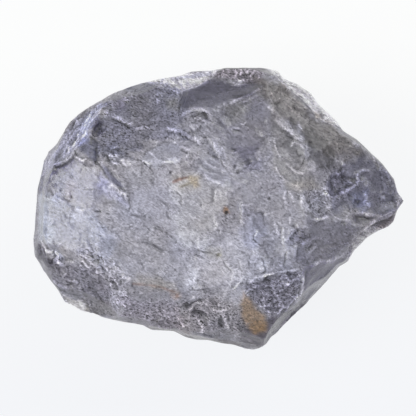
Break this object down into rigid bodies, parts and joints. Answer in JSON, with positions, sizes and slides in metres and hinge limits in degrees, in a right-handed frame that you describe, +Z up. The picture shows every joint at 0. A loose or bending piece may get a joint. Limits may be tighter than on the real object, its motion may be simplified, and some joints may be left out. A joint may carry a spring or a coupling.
{
  "type": "rough iolite crystal",
  "caption": "Broken lump of translucent grey-violet gem crystal with shell-shaped fracture scars, thin ledges at its rim and a flat side that it lies on.",
  "frame": {"origin": "centre of the footprint, on the flat side that the stone lies on", "axes": "+X along the stone towards its pointed end, +Y across it towards the two thin ledges, +Z up through its broad rough face"},
  "size_m": [0.03, 0.0228, 0.0128],
  "materials": {
    "iolite": "rough fracture surface, translucent grey-violet"
  },
  "bodies": {
    "root": {"iolite_crystal": "iolite"}
  },
  "joints": []
}
